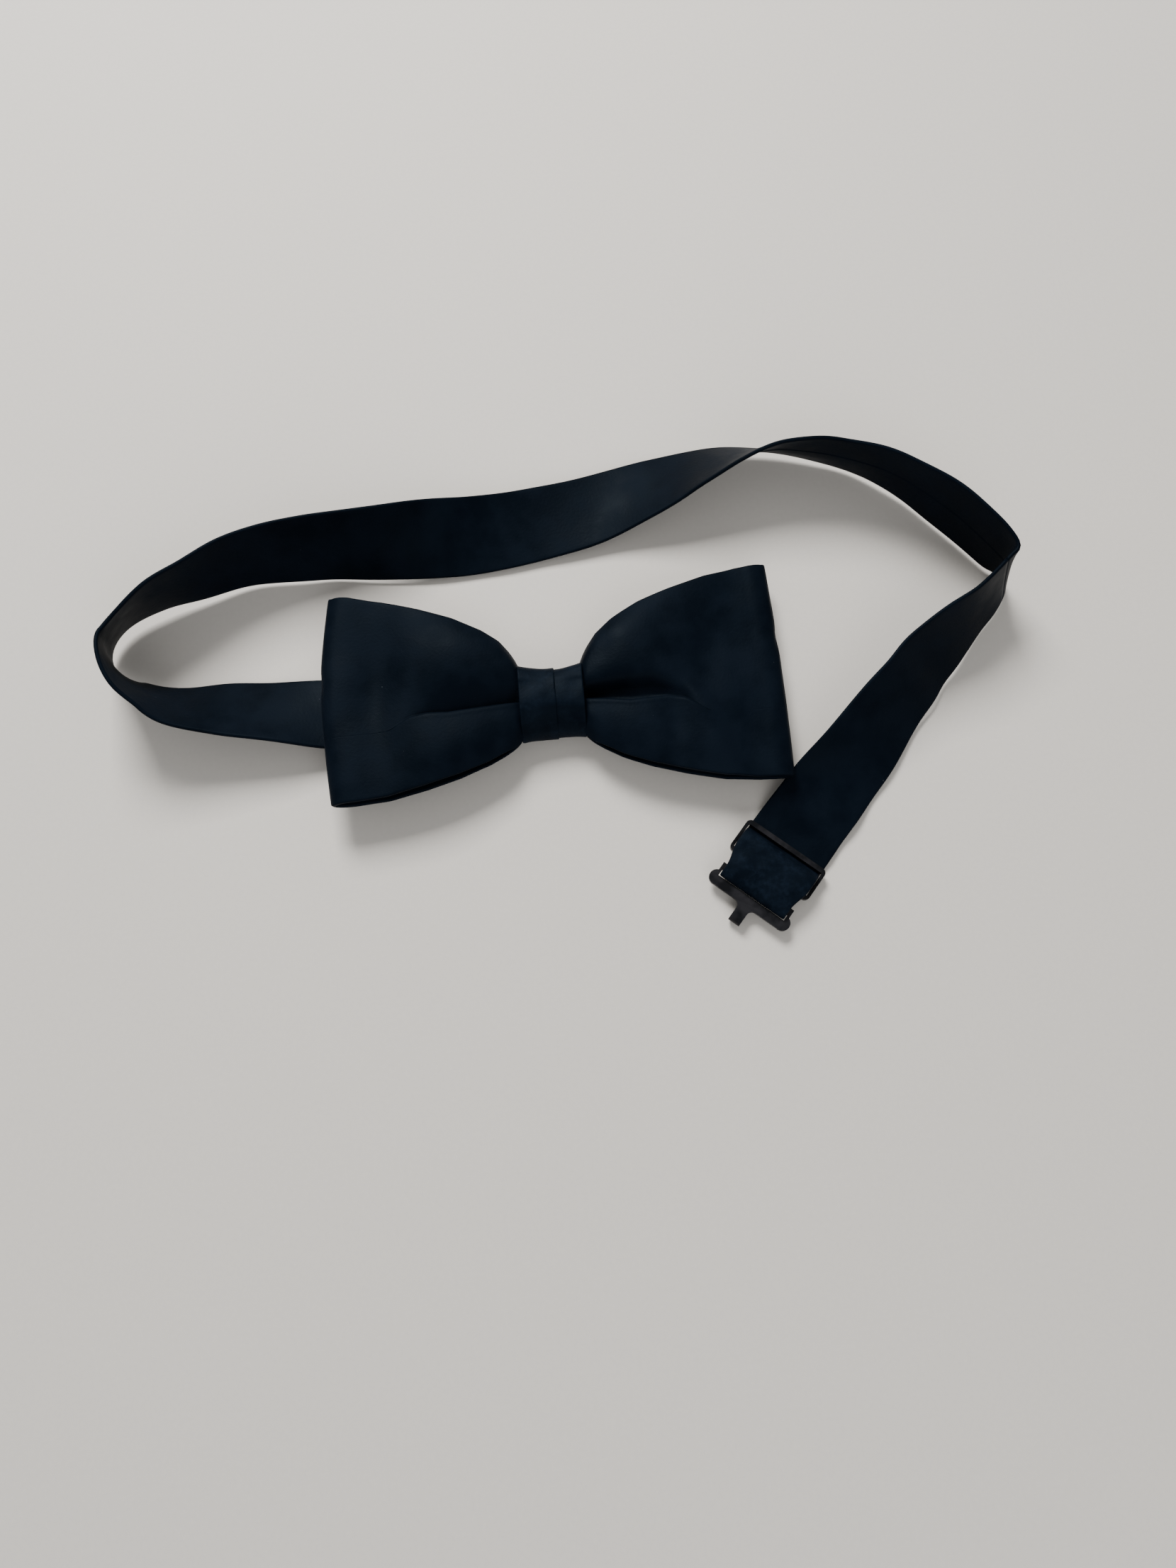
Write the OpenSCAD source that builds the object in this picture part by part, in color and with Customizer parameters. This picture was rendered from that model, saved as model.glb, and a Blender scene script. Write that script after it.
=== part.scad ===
// Pre-tied satin bow tie with an adjustable neckband, a hook plate, a slider and an eye tab.
// It lies on its back: z = 0 is the surface under it, and the origin is the centre of the knot's back.
// +X runs along the bow, +Y towards the bow's top edge and +Z out of the bow's front.

/* [Bow] */
// Reach of the left wing from the centre of the knot
left_reach = 53.3; // [48:0.1:56]
// Reach of the right wing from the centre of the knot
right_reach = 55.2; // [50:0.1:57]
// Height of the left wing, as a share of the drawn outline
left_rise = 0.98; // [0.9:0.01:1]
// Height of the right wing, as a share of the drawn outline
right_rise = 1.04; // [0.95:0.01:1.05]
// Thickness of the finished wing strip: two satin faces with interlining between them
wing_t = 1.4; // [1.2:0.1:1.6]
// Thickness of one satin face
satin_t = 0.25; // [0.2:0.05:0.3]

/* [Knot] */
// Width of the knot band along the bow
knot_w = 15.6; // [14:0.2:18]
// Height of the knot band near its front
knot_h = 16.4; // [16.4:0.1:18]
// Height of the knot band near its back
knot_back_h = 14.8; // [14.8:0.1:16]
// Distance from the knot band's back to its front
knot_d = 11.7; // [11.6:0.1:12.4]
// Thickness of the knot band
knot_t = 1; // [0.6:0.1:1]
// Share of the knot's width that the upper folded half covers
knot_fold = 0.56; // [0.4:0.02:0.7]

/* [Neckband] */
// Width of the neckband
band_w = 20; // [18:0.5:20]
// Thickness of the neckband
band_t = 1; // [0.8:0.1:1.1]
// Width of the neckband where the knot gathers it
band_knot_w = 11.2; // [10:0.2:11.2]

/* [Hook and slider] */
// Overall width of the hook plate and of the slider
plate_w = 22.2; // [22.2:0.1:23]
// Thickness of the hook's and the eye's sheet metal
plate_t = 0.8; // [0.6:0.1:0.9]
// Width of the hook's tongue
tongue_w = 3; // [2.4:0.1:3.4]
// Thickness of the slider's sheet metal
slider_t = 1.2; // [1:0.1:1.3]

/* [Eye tab] */
// Distance from the knot's centre to the eye's strap bar
tab_reach = 46; // [42:0.5:46]
// Width of the eye tab
tab_w = 19; // [17:0.5:19.5]

/* [Hidden] */
$fn = 48;

satin = [0.05, 0.07, 0.10];
cloth = [0.16, 0.16, 0.17];
thread = [0.02, 0.02, 0.03];
metal = [0.08, 0.08, 0.09];

play = 0.05;        // clearance between an interlining and the satin round it
ring_steps = 3;     // rings of a strap between two route points
turn_steps = 10;    // rings round a half turn of strap

// --- Smooth lists and straps ---------------------------------------------------------

function unit(v) = v / norm(v);
function ends(p, i) =
    i < 0 ? 2 * p[0] - p[1] :
    i >= len(p) ? 2 * p[len(p) - 1] - p[len(p) - 2] : p[i];
function bend(a, b, c, d, t) =
    0.5 * (2 * b + (c - a) * t + (2 * a - 5 * b + 4 * c - d) * t * t
    + (3 * b - a - 3 * c + d) * t * t * t);
function smooth(p, n) = concat(
    [for (i = [0:len(p) - 2], k = [0:n - 1])
        bend(ends(p, i - 1), ends(p, i), ends(p, i + 1), ends(p, i + 2), k / n)],
    [p[len(p) - 1]]);
function heading(c, i) = unit(ends(c, i + 1) - ends(c, i - 1));

// A station is [centre, direction across the strap, width, thickness].
// A ring has six corners, so that the strap's long edges are slightly rounded.
function ring(s, along, inset) =
    let (across = s[1] * (s[2] / 2 - inset),
         flat = s[1] * (s[2] / 2 - inset - 0.35 * s[3]),
         up = unit(cross(along, s[1])) * (s[3] / 2 - inset))
    [s[0] - flat - up, s[0] + flat - up, s[0] + across,
     s[0] + flat + up, s[0] - flat + up, s[0] - across];
function rings(st, inset) =
    let (c = [for (s = st) s[0]])
    [for (i = [0:len(st) - 1]) ring(st[i], heading(c, i), inset)];
function flatten(l) = [for (a = l, b = a) b];

// Side faces of a stack of six-cornered rings, starting at point number `first`. The upper three
// faces are split along the other diagonal, so that both faces of a twisted strap stay parallel.
function sides(n, k, first, inside) = [
    for (i = [0:n - 2], j = [0:k - 1])
        let (a = first + i * k + j, b = first + i * k + (j + 1) % k, c = b + k, d = a + k,
             pair = abs(j - 3) > 1 ? [[a, d, c], [a, c, b]] : [[a, d, b], [b, d, c]])
        each (inside ? [for (f = pair) [f[0], f[2], f[1]]] : pair)
];

// A flattened tube of cloth along the stations, open at both ends.
module satin_tube(st, wall) {
    n = len(st);
    k = 6;
    m = n * k;
    e = m - k;
    caps = [for (j = [0:k - 1]) let (q = (j + 1) % k) each [
        [j, q, m + q], [j, m + q, m + j],
        [e + q, e + j, m + e + j], [e + q, m + e + j, m + e + q]]];
    polyhedron(
        points = concat(flatten(rings(st, 0)), flatten(rings(st, wall))),
        faces = concat(sides(n, k, 0, false), sides(n, k, m, true), caps),
        convexity = 10);
}

// A solid strip along the stations.
module strip(st, inset) {
    n = len(st);
    k = 6;
    e = (n - 1) * k;
    polyhedron(
        points = flatten(rings(st, inset)),
        faces = concat(
            sides(n, k, 0, false),
            [[for (j = [0:k - 1]) j]],
            [[for (j = [k - 1:-1:0]) e + j]]),
        convexity = 10);
}

// --- Wings ---------------------------------------------------------------------------

// Outline of a wing: distance from the knot's centre, top edge, bottom edge.
WING = [
    [1, 5.85, -5.85], [7.6, 5.85, -5.85], [8.4, 11.6, -9.2], [12, 16.8, -11.9],
    [16, 19.7, -14.2], [23, 23.2, -16.8], [31, 26.2, -19.1], [40, 29, -21.2],
    [48, 30.8, -21.9], [53, 31.4, -22.1]
];
wing_drawn = 53;
// Side view of a wing's loop, from the waist's front round the fold to the waist's back:
// distance from the knot's centre, height, thickness added by the gathers.
LEFT_LOOP = [
    [1, 8.3, 1.3], [7.6, 8.3, 1.3], [12, 9.7, 0.6], [20, 10.9, 0.1], [32, 11.4, 0],
    [44, 11.1, 0], [50.2, 10.3, 0], [52.2, 9.9, 0], [53, 8.6, 0], [52.2, 7.3, 0],
    [50.2, 6.9, 0], [44, 6.5, 0], [32, 6.1, 0], [20, 5.5, 0.1], [12, 4.8, 0.6], [7.6, 4.5, 1.3], [1, 4.5, 1.3]
];
RIGHT_LOOP = [
    [1, 8.3, 1.3], [7.6, 8.3, 1.3], [12, 9.5, 0.6], [20, 10.4, 0.1], [32, 10.2, 0],
    [44, 9.2, 0], [50.2, 8.6, 0], [52.2, 8.3, 0], [53, 7, 0], [52.2, 5.7, 0],
    [50.2, 5.4, 0], [44, 5.5, 0], [32, 5.5, 0], [20, 5.3, 0.1], [12, 4.8, 0.6], [7.6, 4.5, 1.3], [1, 4.5, 1.3]
];
function top_at(x) = lookup(x, [for (w = WING) [w[0], w[1]]]);
function bottom_at(x) = lookup(x, [for (w = WING) [w[0], w[2]]]);
function stretched(x, reach) =
    x < 9 ? x : 9 + (x - 9) * (reach - 9) / (wing_drawn - 9);
function rise_at(x, rise) = x < 9 ? 1 : rise;
function wing_stations(loop, side, reach, rise) = [
    for (p = smooth(loop, 3))
        let (top = top_at(p[0]) * rise_at(p[0], rise), low = bottom_at(p[0]) * rise_at(p[0], rise))
        [[side * stretched(p[0], reach), (top + low) / 2, p[1]],
         [0, 1, 0], top - low, wing_t + p[2]]
];
left_wing = wing_stations(LEFT_LOOP, -1, left_reach, left_rise);
right_wing = wing_stations(RIGHT_LOOP, 1, right_reach, right_rise);

module left_wing_satin() { color(satin) satin_tube(left_wing, satin_t); }
module left_wing_interlining() { color(cloth) strip(left_wing, satin_t + play); }
module right_wing_satin() { color(satin) satin_tube(right_wing, satin_t); }
module right_wing_interlining() { color(cloth) strip(right_wing, satin_t + play); }

// --- Knot ----------------------------------------------------------------------------

lining_t = 0.3;
thread_t = 0.35;
turns_of_thread = 4;
knot_step = 0.3;        // how far the folded half stands above the other
front_r = 3.8;          // radius of the knot's front corners
back_r = 2.2;           // radius of its back corners
groove_w = 2;           // groove in the knot's back for the closing stitches
groove_d = 0.5;

// Section of the knot, set back by `inset` from the band's outer face.
module knot_section(inset) {
    hull() for (s = [-1, 1]) {
        translate([s * (knot_h / 2 - front_r), knot_d - front_r]) circle(front_r - inset);
        translate([s * (knot_back_h / 2 - back_r), back_r]) circle(back_r - inset);
    }
}

// A band round the knot from x = a to x = b, between two insets.
module knot_ring(a, b, outer, inner) {
    translate([a, 0, 0]) rotate([90, 0, 90]) linear_extrude(b - a) difference() {
        intersection() {
            knot_section(outer);
            translate([-knot_h, 0]) square([2 * knot_h, 2 * knot_d]);
        }
        knot_section(inner);
    }
}

// Section of the gathered waist, set back by `inset` from the thread round it.
module waist_section(inset) {
    hull() for (s = [-1, 1]) {
        translate([s * (knot_h / 2 - front_r), knot_d - front_r]) circle(2.35 - inset);
        translate([s * 5, 3.8]) circle(1.2 - inset);
    }
}

module gather_thread() {
    pitch = 0.8;
    color(thread) for (i = [0:turns_of_thread - 1])
        translate([(i - (turns_of_thread - 1) / 2) * pitch - thread_t / 2, 0, 0])
            rotate([90, 0, 90]) linear_extrude(thread_t) difference() {
                waist_section(0);
                waist_section(thread_t);
            }
}

module knot_lining() {
    inset = knot_t + play;
    color(cloth) knot_ring(1 - knot_w / 2, knot_w / 2 - 1, inset, inset + lining_t);
}

module knot_band() {
    edge = knot_w * (knot_fold - 0.5);
    color(satin) difference() {
        union() {
            knot_ring(-knot_w / 2, knot_w / 2, 0, knot_t);
            knot_ring(-knot_w / 2, edge, -knot_step, knot_t);
        }
        translate([-5, -groove_w / 2, -1]) cube([10, groove_w, 1 + groove_d]);
    }
}

module knot_stitches() {
    color(thread) for (x = [-4:2:4])
        translate([x - 0.6, -0.7, 0.25]) rotate([0, 90, 30]) cylinder(r = 0.2, h = 1.6);
}

// --- Neckband ------------------------------------------------------------------------

// The strap's straight end lies along end_way, and its own frame has +Y towards the hook's tip.
end_x = 42.5;
end_y = -51;
end_way = 229;

// The route from the knot to the hook: x, y, height of the centre line, and the lean of the
// strap, which is 0 where it lies flat and 90 where it stands on edge.
ROUTE = [
    [-1, 0, 1.95, 0], [-8, -0.2, 1.9, 0], [-20, 0.5, 1.6, 2], [-30, 1.5, 1.8, 4],
    [-40, 2.5, 2.2, 6], [-48, 3, 2.6, 9], [-56, 3.5, 3.2, 14], [-68, 4.5, 5, 25],
    [-80, 5.5, 6.5, 33], [-90, 6.5, 8, 44], [-96, 8.5, 9.5, 58], [-101, 11.5, 11.5, 72],
    [-105, 16.5, 12.5, 90], [-106.5, 22.5, 12.5, 105], [-103, 28.5, 12.5, 108],
    [-95, 34.5, 12.5, 99], [-86, 38.5, 11.5, 90], [-77, 42.5, 11, 81],
    [-68, 44.5, 10.5, 73], [-58, 45.5, 10, 66], [-48, 46, 9.5, 60], [-38, 46.5, 8.5, 49],
    [-28, 47.5, 6.5, 35], [-18, 48.5, 4.5, 22], [-8, 50, 3.2, 12], [2, 52, 2.6, 6],
    [12, 54, 2.6, 0], [22, 56.5, 3.5, -10], [32, 59, 5.5, -22], [42, 61.5, 7.5, -35],
    [52, 63.5, 9.5, -50], [62, 64, 10.5, -63], [72, 62.5, 11, -72], [80, 60, 11, -76],
    [88, 56, 11.5, -82], [95, 51, 11.5, -86], [102, 44.5, 11.5, -92],
    [108, 37.5, 11.5, -93], [113, 30.5, 11.5, -90], [115.5, 25.5, 11, -80],
    [112, 20, 10.5, -75], [106, 14.5, 10.2, -71], [99, 9, 9.7, -60], [92, 3, 8.7, -49],
    [85, -4.5, 7.7, -42], [77, -13, 6.2, -33], [70, -20.5, 4.3, -21], [63, -28, 2.6, -8],
    [58, -33.3, 1.8, -3]
];
// The straight end of the route, through the slider to the hook: place along the end's own
// +Y, height of the centre line. It dips under the slider's rear bar and rises over the wrap.
END_RUN = [
    [-20, 1.1], [-17.8, 0.75], [-16.2, 0.72], [-15.2, 0.86], [-14.2, 1.8], [-13.4, 3.2],
    [-12.5, 4.3], [-11, 4.75], [-9.4, 4.7], [-7.6, 4.6], [-5.8, 4.4]
];
gather_end = -24;       // the strap is at its full width from here on
gather_start = -8;      // and at its gathered width up to here
hook_w = 18;            // the strap narrows to this where it turns in the hook's slot
function away(p) = norm([p[0] - end_x, p[1] - end_y]);
function band_width(x, y) =
    y < 10 && x > gather_end && x < 0
        ? band_knot_w + (band_w - band_knot_w) * max(0, (gather_start - x) / (gather_start - gather_end))
        : min(band_w, hook_w + max(0, away([x, y]) - 5) * 0.35);
function end_point(p) =
    [end_x + p[0] * cos(end_way), end_y + p[0] * sin(end_way), p[1], 0];
function band_stations(p) =
    let (r = smooth(p, ring_steps), c = [for (q = r) [q[0], q[1], q[2]]])
    [for (i = [0:len(r) - 1])
        let (along = heading(c, i),
             level = unit([-along[1], along[0], 0]),
             rise = cross(along, level),
             across = cos(r[i][3]) * level + sin(r[i][3]) * rise)
        [c[i], across, band_width(c[i][0], c[i][1]), band_t]];
neckband = band_stations(concat(ROUTE, [for (p = END_RUN) end_point(p)]));

module neckband_satin() { color(satin) satin_tube(neckband, satin_t); }
module neckband_interlining() { color(cloth) strip(neckband, satin_t + play); }

// The neckband and the eye tab are sewn end to end inside the knot.
module strap_seam() {
    pitch = 2.6;
    stitches = 5;
    reach = 0.7;
    color(thread) for (i = [0:stitches - 1])
        translate([-reach, (i - (stitches - 1) / 2) * pitch, 1.95])
            rotate([0, 90, 0]) cylinder(r = 0.25, h = 2 * reach, $fn = 24);
}

// --- Hook end ------------------------------------------------------------------------

bar_y = -2.9;           // the hook's strap bar
bar_z = 2.7;
hook_turn_r = 1.6;      // middle of the cloth where it turns round the hook's bar

module at_end() { translate([end_x, end_y, 0]) rotate([0, 0, end_way - 90]) children(); }

// Stations of a strap that lies across local x, from points [y, z] or world points [x, z].
function across_x(p, w, t) = [for (q = p) [[0, q[0], q[1]], [1, 0, 0], w, t]];
function half_turn(y, z, r, way) = [
    for (i = [0:turn_steps]) let (a = 90 - way * i * 180 / turn_steps)
        [y + r * cos(a), z + r * sin(a)]];

module turned_end() {
    path = concat(
        [[-5.4, 4.4], [-4.2, 4.36]],
        half_turn(bar_y, bar_z, hook_turn_r, 1),
        [[-4.5, 1.05], [-6.4, 0.85], [-8, 0.75], [-9.2, 0.75]]);
    color(satin) at_end() satin_tube(across_x(path, hook_w, 0.9), satin_t);
}

module hook_outline() {
    half = plate_w / 2;
    bar_half = 0.9;
    slot_half = hook_w / 2 + 0.2;
    rail = 0.7;
    lobe_r = 1.9;
    web_back = -0.4;
    web_front = 2.05;
    lobe_y = 0.2;
    fillet = 1.4;
    difference() {
        union() {
            translate([-slot_half - rail, bar_y - bar_half])
                square([2 * (slot_half + rail), web_front - bar_y + bar_half - 1]);
            translate([-half + lobe_r, web_back]) square([plate_w - 2 * lobe_r, web_front - web_back]);
            for (s = [-1, 1]) translate([s * (half - lobe_r), lobe_y]) circle(lobe_r);
            translate([-tongue_w / 2 - fillet, web_front - 0.1])
                square([tongue_w + 2 * fillet, fillet + 0.1]);
            translate([-tongue_w / 2, 0]) square([tongue_w, curl_y]);
        }
        for (s = [-1, 1])
            translate([s * (tongue_w / 2 + fillet), web_front + fillet]) circle(fillet);
        translate([-slot_half, bar_y + bar_half])
            square([2 * slot_half, web_back - bar_y - bar_half]);
    }
}

curl_in = 0.55;         // inner radius of the tongue's curl
curl_y = 5.3;           // where the tongue starts to curl
curl_leg = 2.6;         // how far the curled tip runs back

module hook_plate() {
    curl_z = bar_z - plate_t / 2 - curl_in;
    color(metal) at_end() {
        translate([0, 0, bar_z - plate_t / 2]) linear_extrude(plate_t) hook_outline();
        translate([-tongue_w / 2, 0, 0]) rotate([90, 0, 90]) linear_extrude(tongue_w) {
            translate([curl_y, curl_z]) intersection() {
                difference() {
                    circle(curl_in + plate_t);
                    circle(curl_in);
                }
                translate([0, -3]) square([3, 6]);
            }
            translate([curl_y - curl_leg, curl_z - curl_in - plate_t]) square([curl_leg, plate_t]);
        }
    }
}

// --- Slider --------------------------------------------------------------------------

slider_back = -16.4;    // rear edge of the slider
slider_l = 9;
slider_y = -11;         // centre of the bar that the strap's end is sewn round
slider_z = 2.15;
slider_bar = 1.2;
slider_slot = 20.5;
wrap_r = 1.25;          // middle of the cloth sewn round the slider's bar
wrap_t = 0.7;
wrap_w = 19.6;

module slider() {
    half = plate_w / 2;
    corner = 1.3;
    front = slider_back + slider_l;
    bars = [slider_back, slider_y - slider_bar / 2, front - slider_bar];
    color(metal) at_end() translate([0, 0, slider_z - slider_t / 2])
        linear_extrude(slider_t) difference() {
            union() {
                translate([-half + corner, slider_back]) square([plate_w - 2 * corner, slider_l]);
                translate([-half, slider_back + corner]) square([plate_w, slider_l - 2 * corner]);
                for (x = [-1, 1], y = [slider_back + corner, front - corner])
                    translate([x * (half - corner), y]) circle(corner);
            }
            for (i = [0, 1]) translate([-slider_slot / 2, bars[i] + slider_bar])
                square([slider_slot, bars[i + 1] - bars[i] - slider_bar]);
        }
}

module slider_wrap() {
    tail = 1.6;
    color(satin) at_end() translate([-wrap_w / 2, 0, 0]) rotate([90, 0, 90])
        linear_extrude(wrap_w) {
            difference() {
                translate([slider_y, slider_z]) circle(wrap_r + wrap_t / 2);
                translate([slider_y, slider_z]) circle(wrap_r - wrap_t / 2);
            }
            translate([slider_y, slider_z - wrap_r - wrap_t / 2]) square([tail, wrap_t]);
        }
}

module slider_bartack() {
    pitch = 1.5;
    rows = 12;
    color(thread) at_end() for (i = [0:rows - 1])
        translate([(i - (rows - 1) / 2) * pitch, slider_y, slider_z + wrap_r + wrap_t / 2 + 0.16])
            rotate([90, 0, 15]) cylinder(r = 0.15, h = 1.2, center = true, $fn = 16);
}

// --- Eye tab -------------------------------------------------------------------------

tab_y = 0;
eye_z = 2.25;
eye_turn_r = 1.35;
tab_t = 0.8;

function tab_width(x) = x < 8 ? band_knot_w : min(tab_w, band_knot_w + (x - 8) * 0.5);
tab_path = concat(
    [[1, 1.85], [8, 1.8], [14, 1.7], [20, 1.9], [28, 2.5], [36, 3.3], [42, 3.6]],
    half_turn(tab_reach, eye_z, eye_turn_r, 1),
    [[42, 0.85], [38, 0.75], [34, 0.7]]);
tab = [for (q = tab_path) [[q[0], tab_y, q[1]], [0, 1, 0], tab_width(q[0]), tab_t]];
tab_inner = [for (s = tab) if (s[0][2] > eye_z - 0.6 || s[0][0] < 30)
    if (s[0][0] < tab_reach - 2) s];

module eye_tab_satin() { color(satin) satin_tube(tab, satin_t * 0.8); }
module eye_tab_interlining() { color(cloth) strip(tab_inner, satin_t * 0.8 + play); }

module eye_tab_stitches() {
    pitch = 1.5;
    rows = 10;
    color(thread) for (i = [0:rows - 1])
        translate([37.5, tab_y + (i - (rows - 1) / 2) * pitch, 0.15])
            rotate([0, 90, 15]) cylinder(r = 0.12, h = 1.4, center = true, $fn = 16);
}

module eye_outline() {
    half = plate_w / 2;
    bar = 0.7;
    slot = 1.5;
    hole_x = 4.6;
    hole_y = 6;
    web = 1;
    front = bar + slot + web;
    difference() {
        union() {
            translate([-bar, -half]) square([front, plate_w]);
            translate([front - 1, -half + 3]) square([hole_x / 2 + 1, plate_w - 6]);
            translate([0, -hole_y / 2 - web - 1]) square([front + hole_x + web - 1, hole_y + 2 * web + 2]);
            translate([front, -hole_y / 2 - web]) square([hole_x + web - 0.2, hole_y + 2 * web]);
            for (s = [-1, 1]) translate([bar + slot - 0.3, s * (half - 1.6)]) circle(1.6);
        }
        translate([bar, -(tab_w + 0.4) / 2]) square([slot, tab_w + 0.4]);
        translate([front - 0.2, -hole_y / 2]) square([hole_x - 0.2, hole_y]);
    }
}

module eye_plate() {
    color(metal) translate([tab_reach, tab_y, eye_z - plate_t / 2])
        linear_extrude(plate_t) eye_outline();
}

left_wing_satin();
left_wing_interlining();
right_wing_satin();
right_wing_interlining();
gather_thread();
knot_lining();
knot_band();
knot_stitches();
neckband_satin();
neckband_interlining();
strap_seam();
turned_end();
hook_plate();
slider();
slider_wrap();
slider_bartack();
eye_tab_satin();
eye_tab_interlining();
eye_tab_stitches();
eye_plate();
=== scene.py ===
"""Pre-tied satin bow tie with an adjustable neckband, lying on a pale floor.

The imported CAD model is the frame. Sizes below are in millimetres and turn into metres where a mesh is made.
"""

import math

import bpy
import numpy as np
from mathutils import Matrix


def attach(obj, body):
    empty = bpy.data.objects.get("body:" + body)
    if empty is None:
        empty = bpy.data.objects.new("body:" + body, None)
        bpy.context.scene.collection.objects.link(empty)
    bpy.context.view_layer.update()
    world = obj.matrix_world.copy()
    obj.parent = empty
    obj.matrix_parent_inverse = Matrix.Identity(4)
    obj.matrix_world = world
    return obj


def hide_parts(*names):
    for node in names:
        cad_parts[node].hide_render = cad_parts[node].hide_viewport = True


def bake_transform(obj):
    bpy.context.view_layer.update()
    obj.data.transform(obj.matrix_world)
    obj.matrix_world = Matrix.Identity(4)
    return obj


MM = 0.001

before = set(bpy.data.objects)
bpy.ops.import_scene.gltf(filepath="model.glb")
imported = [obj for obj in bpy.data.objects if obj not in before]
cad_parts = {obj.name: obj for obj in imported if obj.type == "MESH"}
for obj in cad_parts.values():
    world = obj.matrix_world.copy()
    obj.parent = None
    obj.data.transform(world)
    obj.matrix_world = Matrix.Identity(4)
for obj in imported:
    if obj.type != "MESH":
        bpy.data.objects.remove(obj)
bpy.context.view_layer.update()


# --- Camera ---------------------------------------------------------------------------

CAMERA_AT = (0.11, -102.48, 274.6)
CAMERA_AZIMUTH = -4.8
CAMERA_ELEVATION = 73
LENS = 27.03


def add_camera():
    data = bpy.data.cameras.new("camera")
    data.lens = LENS
    data.sensor_width = 36
    data.clip_start = 0.01
    camera = bpy.data.objects.new("camera", data)
    camera.location = [c * MM for c in CAMERA_AT]
    camera.rotation_euler = (math.radians(90 - CAMERA_ELEVATION), 0, math.radians(CAMERA_AZIMUTH))
    bpy.context.scene.collection.objects.link(camera)
    bpy.context.scene.camera = camera


# --- Curves and cloth -----------------------------------------------------------------


def smooth(points, steps):
    """A Catmull-Rom curve through the points, with this many steps from one point to the next."""
    p = np.array(points, float)
    p = np.vstack([2 * p[0] - p[1], p, 2 * p[-1] - p[-2]])
    t = np.linspace(0, 1, steps, endpoint=False)[:, None]
    parts = []
    for a, b, c, d in zip(p, p[1:], p[2:], p[3:]):
        parts.append(
            0.5 * (2 * b + (c - a) * t + (2 * a - 5 * b + 4 * c - d) * t**2 + (3 * b - a - 3 * c + d) * t**3)
        )
    return np.vstack(parts + [p[-2:-1]])


def evenly(path, spacing):
    """The same path with points about this far apart, measured in its first three columns."""
    d = np.r_[0, np.cumsum(np.linalg.norm(np.diff(path[:, :3], axis=0), axis=1))]
    at = np.linspace(0, d[-1], max(2, round(d[-1] / spacing)) + 1)
    return np.stack([np.interp(at, d, column) for column in path.T], 1)


def through(at, knots, values):
    """Smooth curves through values at the knots. values has one row for each curve."""
    knots = np.array(knots, float)
    values = np.array(values, float)
    slope = np.gradient(values, knots, axis=1)
    i = np.clip(np.searchsorted(knots, at, "right") - 1, 0, len(knots) - 2)
    h = knots[i + 1] - knots[i]
    t = (at - knots[i]) / h
    return (
        values[:, i] * (2 * t**3 - 3 * t**2 + 1)
        + slope[:, i] * h * (t**3 - 2 * t**2 + t)
        + values[:, i + 1] * (3 * t**2 - 2 * t**3)
        + slope[:, i + 1] * h * (t**3 - t**2)
    )


def ramp(x, a, b):
    """0 before a, 1 after b, and a smooth step between them."""
    t = np.clip((x - a) / (b - a), 0, 1)
    return t * t * (3 - 2 * t)


def hump(x, centre, width):
    """A smooth bump that is 1 at its centre."""
    return np.exp(-(((x - centre) / width) ** 2))


def ripples(x, y, seed, length):
    """Soft irregular waves, from -1 to 1, for the small unevenness of real cloth."""
    rng = np.random.default_rng(seed)
    total = np.zeros(np.broadcast(x, y).shape)
    for _ in range(7):
        a = rng.uniform(0, 2 * math.pi)
        k = 2 * math.pi / (length * rng.uniform(0.6, 1.6))
        total += np.sin(k * (x * math.cos(a) + y * math.sin(a)) + rng.uniform(0, 2 * math.pi))
    return total / 4


def across_steps(half_width, roll, count, extra=()):
    """Places across a strip from -1 to 1, and how thick it is there, as a share of its full
    thickness: its long edges are rolled to a half circle of radius roll. extra adds places."""
    angle = np.linspace(0, math.pi / 2, 6)
    edge = roll / half_width * (1 - np.cos(angle))
    inner = np.linspace(edge[-1], 2 - edge[-1], count)[1:-1]
    inner = np.sort(np.r_[inner, np.array(extra) + 1])
    place = np.r_[edge, inner, 2 - edge[::-1]] - 1
    share = np.r_[np.sin(angle), np.ones(len(inner)), np.sin(angle[::-1])]
    return place, share


def tube(name, path, r, material, steps=8):
    """A round thread along a path in millimetres, with rounded ends."""
    along = np.gradient(path, axis=0)
    along /= np.linalg.norm(along, axis=1, keepdims=True)
    side = np.cross(along, np.array([0.31, 0.17, 0.93]))
    side /= np.linalg.norm(side, axis=1, keepdims=True)
    up = np.cross(side, along)
    angle = np.linspace(0, 2 * math.pi, steps, endpoint=False)[:, None]
    size = np.full(len(path), r)
    size[[0, -1]] = 0.45 * r
    rings = [
        c + k * (np.cos(angle) * a + np.sin(angle) * b) for c, a, b, k in zip(path, side, up, size)
    ]
    faces = []
    for i in range(len(path) - 1):
        for j in range(steps):
            q = (j + 1) % steps
            faces.append((i * steps + j, i * steps + q, (i + 1) * steps + q, (i + 1) * steps + j))
    last = (len(path) - 1) * steps
    faces.append(tuple(range(steps))[::-1])
    faces.append(tuple(last + j for j in range(steps)))
    mesh = bpy.data.meshes.new(name)
    mesh.from_pydata((np.vstack(rings) * MM).tolist(), [], faces)
    mesh.polygons.foreach_set("use_smooth", [True] * len(mesh.polygons))
    mesh.materials.append(material)
    piece = bpy.data.objects.new(name, mesh)
    bpy.context.scene.collection.objects.link(piece)
    return piece


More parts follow.
